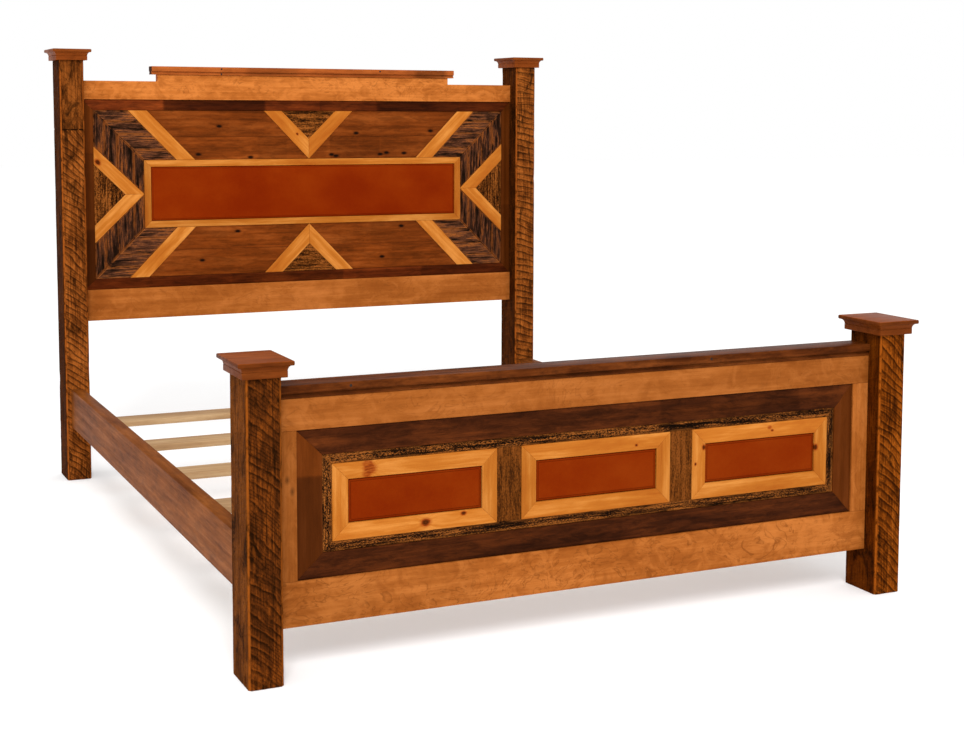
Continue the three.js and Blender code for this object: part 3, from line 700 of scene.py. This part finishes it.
def member_tone(label, seed):
    """A planed face of its own tone, a little lighter for level members."""
    own = 0.08 * float(lattice(np.int64(seed), np.int64(7), 3))
    return planed_face(seed, tone=own + (0.04 if label in ("top", "bottom") else -0.07))


def stretch_tones(tones):
    """A maker of planed faces with stretches of other tones, given for each member."""

    def member(label, seed):
        return planed_face(seed, tones=tones[label])

    return member


def split_member(label, seed):
    return rough_face(seed, 0.0012, cracks=1.0)


# ---- shared shapes

def mitred(name, node, width, material, relief, step, seed, proud=0.0, profile=None, knots=(), sides=None,
           **rest):
    """Four mitred members round the inside of a node's outline in x and z, as deep as the node.

    relief(label, seed) makes the relief of each; sides is another material for the upright ones. proud
    is how far they stand out in front of the node."""
    (x0, y0, z0), (x1, y1, z1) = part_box(node)
    outer, inner = ([(x0 + w, z0 + w), (x1 - w, z0 + w), (x1 - w, z1 - w), (x0 + w, z1 - w)]
                    for w in (0, width))
    members = (("bottom", 0, 1), ("top", 3, 2), ("left", 0, 3), ("right", 1, 2))
    for k, (label, a, b) in enumerate(members):
        corners = [outer[a], outer[b], inner[b], inner[a]]
        wood = sides if sides and label in ("left", "right") else material
        plank(f"{name}_{label}", corners, (y0 - proud, y1), wood, node, step, relief(label, seed + 31 * k),
              profile=profile, knots=dict(knots).get(label, ()), seed=seed + 13 * k, **rest)


def moulded(v, width):
    """The moulding's profile: low at the outer edge, with a raised bead along the inner one."""
    return -np.interp(v / width, [0, 0.5, 0.6, 0.72, 1], [0.005, 0.0035, 0.0015, 0, 0])


def leather_panel(node, proud, material, pitch, seed):
    """Leather over a padded board, as wide and high as its node."""
    (x0, y0, z0), (x1, y1, z1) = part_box(node)
    plank(f"{node}_hide", [(x0, z0), (x1, z0), (x1, z1), (x0, z1)], (y0 - proud, y1), material, node,
          (pitch, pitch), stretched, ease=0.002, seed=seed, slot="leather")


def capping_section(y, z, overhang):
    """Section of a capping strip: an eased slab that steps in over a small fillet."""
    (y0, y1), (z0, z1) = y, z
    step = (z1 - z0) * 0.36
    half = [(y1 - overhang * 0.45, z0), (y1 - overhang * 0.45, z0 + step * 0.35)]
    for k in range(1, 5):
        angle = k / 4 * math.pi / 2
        rise = (1.35 - math.cos(angle)) / 1.35
        half.append((y1 - overhang * (0.45 + 0.55 * math.sin(angle)), z0 + step * rise))
    half.append((y1 - 0.002, z0 + step))
    half.append((y1, z0 + step + 0.002))
    ease = 0.003
    for k in range(4):
        angle = k / 3 * math.pi / 2
        half.append((y1 - ease + ease * math.cos(angle), z1 - ease + ease * math.sin(angle)))
    points = np.array(half + [(y0 + y1 - a, b) for a, b in reversed(half)])
    edges = np.roll(points, -1, axis=0) - points
    flat = np.stack([edges[:, 1], -edges[:, 0]], -1) / np.linalg.norm(edges, axis=1)[:, None]
    normals = flat + np.roll(flat, 1, axis=0)
    return points, normals / np.linalg.norm(normals, axis=1)[:, None]


def capping(node, overhang, material, **rest):
    """A capping strip along x that fills its node's box."""
    (x0, y0, z0), (x1, y1, z1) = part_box(node)
    section = capping_section((y0, y1), (z0, z1), overhang)
    beam(f"{node}_timber", 0, (x0, x1), section, material, node, slot="cap_wood", sharp=40, **rest)


def pulled_in(corners, margin):
    """Corners drawn in towards the middle, so that neighbouring boards show a joint."""
    points = np.array(corners, float)
    inward = points.mean(0) - points
    return points + inward / np.linalg.norm(inward, axis=1)[:, None] * margin


# ---- posts and caps

CAP_STEP = 0.0115  # how far the cap's base lies inside its slab
CAP_COVE = 0.0085  # how far the cove reaches out
CAP_SHARES = (0.41, 0.31)  # of the cap's height: its base and its cove
SLAB_EDGE = ((0.0026, 0.0), (0.0012, 0.0004), (0.0004, 0.0013), (0.0, 0.0028))


def post_and_cap(end, side, material, seed, **marks):
    node = f"{end}_post_{side}"
    timber(node, 2, material, POST_CHAMFER, across=0.003, chamfer=True, step=0.003, ease=0.0015,
           relief=sawn_post(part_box(node), seed, **marks), seed=seed, slot="sawn_post", sharp=28)

    node = f"{end}_cap_{side}"
    lo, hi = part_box(node)
    points, _ = box_section((lo[0], hi[0]), (lo[1], hi[1]), ARRIS, math.inf, chamfer=False)
    inward = -np.sign(points - points.mean(0))
    height = hi[2] - lo[2]
    base, cove = (height * share for share in CAP_SHARES)
    profile = [(CAP_STEP + 0.001, 0), (CAP_STEP, 0.001), (CAP_STEP, base - 0.001), (CAP_STEP + 0.001, base),
               (CAP_STEP, base + 0.0004)]
    for k in range(1, 7):
        angle = k / 6 * math.pi / 2
        profile.append((CAP_STEP - CAP_COVE * (1 - math.cos(angle)), base + cove * math.sin(angle)))
    slab = base + cove
    profile += [(inset, slab + z) for inset, z in SLAB_EDGE]
    profile += [(inset, height - z) for inset, z in SLAB_EDGE[::-1]]
    rings = [np.column_stack([points + inward * inset, np.full(len(points), lo[2] + z)])
             for inset, z in profile]
    # Painted shade: the slab's edge is toned darker than the cap's top, and on the footboard's caps the base
    # and cove are darker too.
    front = -0.3 if end == "footboard" else 0.05
    tones = [front if z < slab else front - 0.2 for _, z in profile]
    tones[-3:] = (-0.2, 0.05, 0.05)
    tiers(f"{node}_timber", rings, CAP, node, tones, slot="cap_wood", sharp=25)


# ---- footboard

FOOT_MOULDING = 0.0565  # widths of the members of the mitred frames
HEAD_MOULDING = 0.035
BORDER_WIDTH = 0.022
FRAME_MEMBER = 0.0365
FOOT_TONES = {
    "top": [(0, 0.45, 0.15), (0.9, 1.3, -0.25)],
    "bottom": [(0.3, 0.8, -0.2)],
    "left": [(0.225, 0.40, 0.7), (0, 0.225, -0.12)],
    "right": [(0, 0.40, 0.25)],
}
FRAME_KNOTS = {
    "left": {
        "bottom": [(0.218, 0.019, 0.0085), (0.310, 0.030, 0.005)],
        "top": [(0.082, 0.007, 0.008, 0.95), (0.087, 0.018, 0.010, 0.88), (0.080, 0.029, 0.007, 0.95)],
    },
    "centre": {"top": [(0.30, 0.024, 0.003)]},
    "right": {
        "top": [(0.221, 0.012, 0.004, 1.0), (0.229, 0.020, 0.003, 0.7)],
        "left": [(0.125, 0.032, 0.005), (0.086, 0.009, 0.003)],
        "right": [(0.097, 0.033, 0.006)],
    },
}


def footboard():
    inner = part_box("footboard_post_right")[0][0] - GAP
    rails = (("top", PLAIN_RAIL, -0.06, (), 3),
             ("bottom", RAIL, 0.08, ((-0.9, -0.55, -0.12), (-0.55, -0.3, -0.03)), 5))
    for level, material, tone, tones, seed in rails:
        timber(f"footboard_{level}_rail", 0, material, span=(-inner, inner), relief=planed_bar(tone, tones),
               seed=seed, slot="cherry")
    lo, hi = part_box("footboard_stile_left")
    width, height = hi[0] - lo[0], hi[2] - lo[2]
    shares = ((0.32, 0.53), (0.40, 0.77))  # down from the top and across
    nails = [(hi[2] - down * height, lo[0] + across * width) for down, across in shares]
    for side, tone, holes, seed in (("left", -0.2, nails, 8), ("right", 0.15, (), 9)):
        timber(f"footboard_stile_{side}", 2, PLAIN_RAIL, 0.001, across=0.003, step=0.004,
               relief=planed_bar(tone, nails=holes), seed=seed, slot="cherry")
    capping("footboard_cap_strip", 0.008, STRIP, seed=2)

    mitred("footboard_moulding", "footboard_moulding", FOOT_MOULDING, DARK, stretch_tones(FOOT_TONES),
           (0.005, 0.004), 21, profile=moulded, sides=DARK_SIDE, slot="dark_moulding")
    mitred("footboard_border", "footboard_barnwood_border", BORDER_WIDTH, BORDER, split_member,
           (0.004, 0.0016), 41, proud=0.001, slot="barnwood")
    for k, side in enumerate(("left", "centre", "right")):
        node = f"footboard_frame_{side}"
        mitred(f"{node}_member", node, FRAME_MEMBER, PINE, member_tone, (0.003, 0.002), 61 + 5 * k,
               knots=FRAME_KNOTS[side], slot="pine")
        leather_panel(f"footboard_leather_{side}", 0.003, FOOT_LEATHER, 0.003, k)
    for seed, side in ((90, "left"), (91, "right")):
        node = f"footboard_divider_{side}"
        (x0, y0, z0), (x1, y1, z1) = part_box(node)
        plank(f"{node}_timber", [(x0, z0), (x0, z1), (x1, z1), (x1, z0)], (y0, y1), OLIVE, node,
              (0.004, 0.002), rough_face(seed, 0.0005), seed=seed, slot="barnwood")


# ---- headboard

CREST_RISE = 0.0225  # how far the top rail's middle stands above its ends
CREST_OVERHANG = 0.0205
CHEVRON_INNER = 0.102  # half the opening of the chevron's inner edge
CHEVRON_SETBACK = 0.063
DIAGONAL = (0.627, 0.564, 0.162)  # outer and inner edge at the top, and how far it leans in
VEE_OUTER, VEE_INNER, VEE_SETBACK = 0.161, 0.098, 0.069
STRIP_EDGES = (0, 0.036, 0.079, 0.132, 0.166)  # the concentric barnwood strips, from the outside in
STRIP_DEPTHS = (-0.0006, 0.0020, 0, 0.0014)  # how far behind the barnwood's front each strip lies
BOARD_SEAM = 0.088  # from the top of the panel to the joint between the two long boards
BLUNT = 0.0012  # half the width of the triangles' cut tips
# nail holes and tones of the upper and the lower board of each quarter, from the V outwards
BOARD_MARKS = {
    "top_left": ([(0.156, 0.053)], [],
                 [(0.132, 0.071), (0.314, 0.060)], [(0, 0.106, -0.15), (0.106, 0.5, 0.1)]),
    "top_right": ([(0.014, 0.077), (0.298, 0.070)], [(0.287, 0.5, -0.12)],
                  [(0.008, 0.064), (0.024, 0.069), (0.190, 0.064), (0.214, 0.059), (0.281, 0.061)],
                  [(0, 0.19, -0.3), (0.19, 0.5, -0.15)]),
    "bottom_left": ([(0.22, 0.050)], [], [(0.18, 0.058)], [(0, 0.22, 0.1)]),
    "bottom_right": ([(0.11, 0.040)], [(0, 0.15, 0.1)], [(0.27, 0.060)], [(0.15, 0.5, -0.1)]),
}
HEAD_TONES = {
    "top": [(0, 0.27, 1.3), (0.27, 0.62, -0.3), (0.62, 0.82, 0.8), (0.82, 1.03, 0.35), (1.03, 1.35, -0.3)],
    "bottom": [(0, 0.5, 0.4), (0.9, 1.2, 0.7)],
    "left": [(0, 0.2, -0.2), (0.2, 0.45, 0.3), (0.45, 0.8, 0.6)],
    "right": [(0.25, 0.6, 0.3)],
}


class Field:
    """The headboard's barnwood panel, drawn in quarters as separate boards.

    Heights are measured from its middle, and shapes are given for its upper right quarter."""

    def __init__(self):
        top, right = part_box("headboard_barnwood_top"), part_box("headboard_barnwood_right")
        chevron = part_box("headboard_chevron_right")
        self.middle = (top[1][2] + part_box("headboard_barnwood_bottom")[0][2]) / 2
        self.hole, self.reach = right[0][0], right[1][0]  # its inner and outer edge in x
        self.half = top[1][2] - self.middle
        self.band = top[1][2] - top[0][2]
        self.low = self.half - self.band
        self.front, self.back = top[0][1], top[1][1]
        self.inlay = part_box("headboard_vee_top")[0][1]
        self.opening = (chevron[1][2] - chevron[0][2]) / 2

    def board(self, name, corners, quarter, front, material, node, step, relief, margin=0.0003, **rest):
        """One board of a quarter, (sx, sz) being the signs of its x and z."""
        sx, sz = quarter
        placed = [(sx * x, self.middle + sz * z) for x, z in corners]
        plank(f"headboard_{name}", pulled_in(placed, margin), (front, self.back), material,
              f"headboard_{node}", step, relief, **rest)

    def strips(self, quarter, level, side):
        """The concentric mitred strips round the corner of a quarter."""
        sx, sz = quarter
        outer, _, lean = DIAGONAL
        half, reach = self.half, self.reach
        for k, (start, end) in enumerate(zip(STRIP_EDGES, STRIP_EDGES[1:])):
            seed = 200 + 17 * k + 3 * (sx > 0) + 7 * (sz > 0)
            mitre = [(reach - start, half - start), (reach - end, half - end)]
            flat = [(outer - lean * start / self.band, half - start), *mitre,
                    (outer - lean * end / self.band, half - end)]
            upright = [(reach - start, self.opening * (1 - start / self.band)), *mitre,
                       (reach - end, self.opening * (1 - end / self.band))]
            for kind, corners, wood, part, own in (("level", flat, BARN_LIGHT, level, 50),
                                                   ("upright", upright, BARN, side, 0)):
                self.board(f"strip_{level}_{side}_{kind}_{k + 1}", corners, quarter,
                           self.front + STRIP_DEPTHS[k], wood, f"barnwood_{part}", (0.005, 0.0018),
                           rough_face(seed + own, 0.0011, cracks=0.7), margin=0.0008, ease=0.002, seed=seed,
                           slot="barnwood")

    def inlays(self, quarter, level, side, seed):
        """The light strips of a quarter: a diagonal, half a V and half a chevron."""
        outer, inner, lean = DIAGONAL
        half, low = self.half, self.low
        knotty = quarter == (-1, 1)
        shapes = (
            ("diagonal", f"{level}_{side}", (),
             [(outer, half), (outer - lean, low), (inner - lean, low), (inner, half)]),
            ("vee", level, [(0.14, 0.030, 0.004)],
             [(VEE_OUTER, half), (0, low), (0, low + VEE_SETBACK), (VEE_INNER, half)]),
            ("chevron", side, [(0.045, 0.028, 0.008)],
             [(self.reach, self.opening), (self.hole, 0), (self.hole + CHEVRON_SETBACK, 0),
              (self.reach, CHEVRON_INNER)]),
        )
        for k, (shape, part, knots, corners) in enumerate(shapes):
            self.board(f"inlay_{shape}_{level}_{side}", corners, quarter, self.inlay, PINE, f"{shape}_{part}",
                       (0.004, 0.003), planed_face(seed + k, tone=0.16), knots=knots if knotty else (),
                       seed=seed + k, slot="pine")

    def seam(self, depth):
        """Where a level line, at a depth below the top, meets the V and the diagonal."""
        _, inner, lean = DIAGONAL
        z = self.half - depth
        return [(VEE_OUTER * (1 - depth / self.band), z), (inner - lean * depth / self.band, z)]

    def long_boards(self, quarter, level, side, seed):
        """The two smoother boards between the V and the diagonal."""
        upper_nails, upper_tones, lower_nails, lower_tones = BOARD_MARKS[f"{level}_{side}"]
        boards = (("upper", 0, BOARD_SEAM, 0, planed_face(seed, upper_nails, -0.05, upper_tones), 3),
                  ("lower", BOARD_SEAM, self.band, 0.001, planed_face(seed, lower_nails, 0, lower_tones), 5))
        for name, start, end, depth, relief, own in boards:
            self.board(f"board_{name}_{level}_{side}", self.seam(start) + self.seam(end)[::-1], quarter,
                       self.front + depth, BOARD, f"barnwood_{level}", (0.004, 0.002), relief,
                       margin=0.0007, seed=seed + own, slot="barnwood")

    def triangle(self, label, corners, quarter, relief, seed):
        """A speckled triangle inside a V or a chevron, its tip cut blunt."""
        self.board(f"triangle_{label}", corners, quarter, self.front + 0.0006, SPECKLED,
                   f"barnwood_{label}", (0.004, 0.0018), relief, seed=seed, slot="barnwood")


def headboard_field():
    field = Field()
    sides = ((-1, "left"), (1, "right"))
    for sz, level in ((1, "top"), (-1, "bottom")):
        for sx, side in sides:
            seed = 300 + 40 * (sx > 0) + 90 * (sz > 0)
            field.strips((sx, sz), level, side)
            field.inlays((sx, sz), level, side, seed)
            field.long_boards((sx, sz), level, side, seed)
        tip = field.low + VEE_SETBACK + BLUNT
        corners = [(-VEE_INNER, field.half), (VEE_INNER, field.half), (BLUNT, tip), (-BLUNT, tip)]
        field.triangle(level, corners, (1, sz), rough_face(410 + sz, 0.0010), 7 + sz)
    for sx, side in sides:
        tip = field.hole + CHEVRON_SETBACK + BLUNT
        corners = [(field.reach, -CHEVRON_INNER), (field.reach, CHEVRON_INNER), (tip, BLUNT), (tip, -BLUNT)]
        field.triangle(side, corners, (sx, 1), rough_face(430 + sx, 0.0008), 12 + sx)


def stepped_rail(node, inner, half_step, tone):
    """The headboard's top rail: its middle stands higher, and its arrises are eased by a bevel."""
    lo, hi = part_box(node)
    step = hi[2] - CREST_RISE
    points = [(-inner, lo[2]), (inner, lo[2]), (inner, step), (half_step, step), (half_step, hi[2]),
              (-half_step, hi[2]), (-half_step, step), (-inner, step)]
    count = len(points)
    verts = np.array([(x, depth, z) for depth in (lo[1], hi[1]) for x, z in points])
    faces = [list(range(count)), list(range(2 * count - 1, count - 1, -1))]
    faces += [[k, k + count, (k + 1) % count + count, (k + 1) % count] for k in range(count)]
    grain = verts[:, [0, 2, 1]] + [3.1, 0.4, 0]
    mark = np.tile([tone, 0, FAR], (len(verts), 1))
    piece = add_piece(f"{node}_timber", verts, faces, RAIL, node, "cherry", grain, mark)
    bevel = piece.modifiers.new("eased", "BEVEL")
    bevel.width, bevel.segments, bevel.limit_method = ARRIS, 3, "ANGLE"


def headboard():
    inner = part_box("headboard_post_right")[0][0] - GAP
    half_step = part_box("headboard_crest")[1][0] - CREST_OVERHANG
    stepped_rail("headboard_top_rail", inner, half_step, 0.46)
    timber("headboard_bottom_rail", 0, PLAIN_RAIL, span=(-inner, inner), relief=planed_bar(0.2), seed=16,
           slot="cherry")
    capping("headboard_crest", 0.007, CREST, seed=4, ends=END_GRAIN,
            relief=planed_bar(0.25, ((-0.21, -0.03, -0.05), (0.40, 0.52, -0.35))))
    mitred("headboard_moulding", "headboard_moulding", HEAD_MOULDING, DARK_RED, stretch_tones(HEAD_TONES),
           (0.005, 0.003), 121, profile=moulded, sides=DARK_SIDE, slot="dark_moulding")
    headboard_field()
    mitred("headboard_border", "headboard_leather_border", BORDER_WIDTH, PINE, member_tone, (0.006, 0.003),
           151, slot="pine")
    leather_panel("headboard_leather", 0.002, LEATHER, 0.004, 9)


# ---- base

def base():
    for k, side in enumerate(("left", "right")):
        timber(f"side_rail_{side}", 1, SIDE_RAIL, 0.0015, seed=30 + k, slot="cherry")
        timber(f"ledger_{side}", 1, SOFTWOOD, 0.0015, seed=33 + k, slot="slat_wood")
    for k in range(1, 6):
        timber(f"slat_{k}", 0, SOFTWOOD, 0.002, seed=40 + k, slot="slat_wood", body=f"slat_{k}",
               ends=END_GRAIN)
    for place, slat in (("front", "slat_2"), ("rear", "slat_4")):
        timber(f"centre_leg_{place}", 2, SOFTWOOD, 0.003, seed=50, slot="slat_wood", body=slat)
        leveller(f"leveller_{place}")


def circle(radius, count):
    """Points round the origin, as two lists."""
    angles = np.linspace(0, 2 * math.pi, count, endpoint=False)
    return radius * np.cos(angles), radius * np.sin(angles)


def leveller(node):
    """A moulded foot with a collar and a threaded stem."""
    lo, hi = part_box(node)
    x, y = (lo[0] + hi[0]) / 2, (lo[1] + hi[1]) / 2
    pad = (hi[0] - lo[0]) / 2
    profile = [(pad - 0.003, 0), (pad - 0.001, 0.0006), (pad, 0.002), (pad - 0.0005, 0.004),
               (pad - 0.003, 0.0058), (0.0095, 0.0066), (0.009, 0.0075), (0.009, 0.0145),
               (0.0085, 0.015), (0.0042, 0.015)]
    turns = 28
    for k in range(turns):
        z = 0.0155 + (hi[2] - lo[2] - 0.0165) * k / turns
        profile += [(0.0036, z), (0.004, z + 0.0008)]
    rings = []
    for radius, z in profile:
        a, b = circle(radius, 40)
        rings.append(np.column_stack([x + a, y + b, np.full(40, lo[2] + z)]))
    tiers(f"{node}_foot", rings, GLIDE, node, body=node, slot="glide", sharp=30)


def nail_heads():
    """The nails that hold the crest and the footboard's capping strip, at (x, set back, height)."""
    places = {
        "headboard_crest": ((-0.310, 0, 0.0205), (-0.310, 0.0032, 0.0035), (0.262, 0, 0.020)),
        "footboard_cap_strip": ((-0.610, 0, 0.020), (0.305, 0, 0.020)),
    }
    head = ((0.0030, 0.001), (0.0030, -0.0002), (0.0022, -0.0006), (0.0008, -0.0008))
    for node, spots in places.items():
        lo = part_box(node)[0]
        for k, (x, back, z) in enumerate(spots):
            rings = []
            for radius, y in head:
                a, b = circle(radius, 16)
                rings.append(np.column_stack([x + a, np.full(16, lo[1] + back + y), lo[2] + z + b]))
            tiers(f"{node}_nail_{k + 1}", rings, NAIL, node, slot="cap_wood", sharp=40)


def plain_parts():
    """CAD parts whose shape is right already; they only take a better material."""
    for name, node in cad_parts.items():
        if "backer" in name:
            node.material_slots[0].material = PLYWOOD
        if "hook" in name:
            node.material_slots[0].material = STEEL


# ---- camera, light and floor

def camera():
    data = bpy.data.cameras.new("camera")
    data.lens = CAMERA["lens"]
    data.shift_x, data.shift_y = CAMERA["shift"]
    data.clip_end = 100
    seen = Matrix.Translation(CAMERA["place"])
    for degrees, axis in ((-CAMERA["yaw"], "Z"), (90 + CAMERA["pitch"], "X"), (CAMERA["roll"], "Z")):
        seen = seen @ Matrix.Rotation(math.radians(degrees), 4, axis)
    SCENE.camera = add_object("camera", data)
    SCENE.camera.matrix_world = seen


def softbox(name, place, target, size, power):
    data = bpy.data.lights.new(name, "AREA")
    data.shape, data.size, data.size_y = "RECTANGLE", *size
    data.energy = power
    made = add_object(name, data)
    made.location = place
    made.rotation_euler = (Vector(target) - Vector(place)).to_track_quat("-Z", "Y").to_euler()


def studio():
    world = bpy.data.worlds.new("studio")
    world.use_nodes = True
    background = world.node_tree.nodes["Background"].inputs
    background["Color"].default_value = (1, 1, 1, 1)
    background["Strength"].default_value = 1
    SCENE.world = world
    softbox("key", (-3.2, -8.2, 7.0), (0, 0, 0.5), (3.5, 3.5), 700)
    s = Shader("floor", 0.9, 0.0, plain=True)
    cloud = s.noise((0.8, 0.8, 0.8))
    paper = s.finish(s.ramp(cloud, (0.3, (0.85, 0.85, 0.85)), (0.7, (0.87, 0.87, 0.87))))
    s.principled.inputs["Emission Color"].default_value = (1, 1, 1, 1)
    s.principled.inputs["Emission Strength"].default_value = 0.16
    mesh = bpy.data.meshes.new("floor")
    mesh.from_pydata([(-30, -30, 0), (30, -30, 0), (30, 30, 0), (-30, 30, 0)], [], [[0, 1, 2, 3]])
    mesh.materials.append(paper)
    floor = add_object("floor", mesh)
    floor.location.z = CAD_BOUNDS[0][2] - 0.0005
    SCENE.view_settings.view_transform = "Standard"


camera()
post_and_cap("footboard", "left", POST_OLIVE, 500)
post_and_cap("footboard", "right", POST, 511)
post_and_cap("headboard", "left", POST_TALL, 540, splice=SPLICE_HEIGHT)
post_and_cap("headboard", "right", POST_TALL, 551, lean=(0.16, 1.2))
footboard()
headboard()
base()
nail_heads()
plain_parts()
studio()
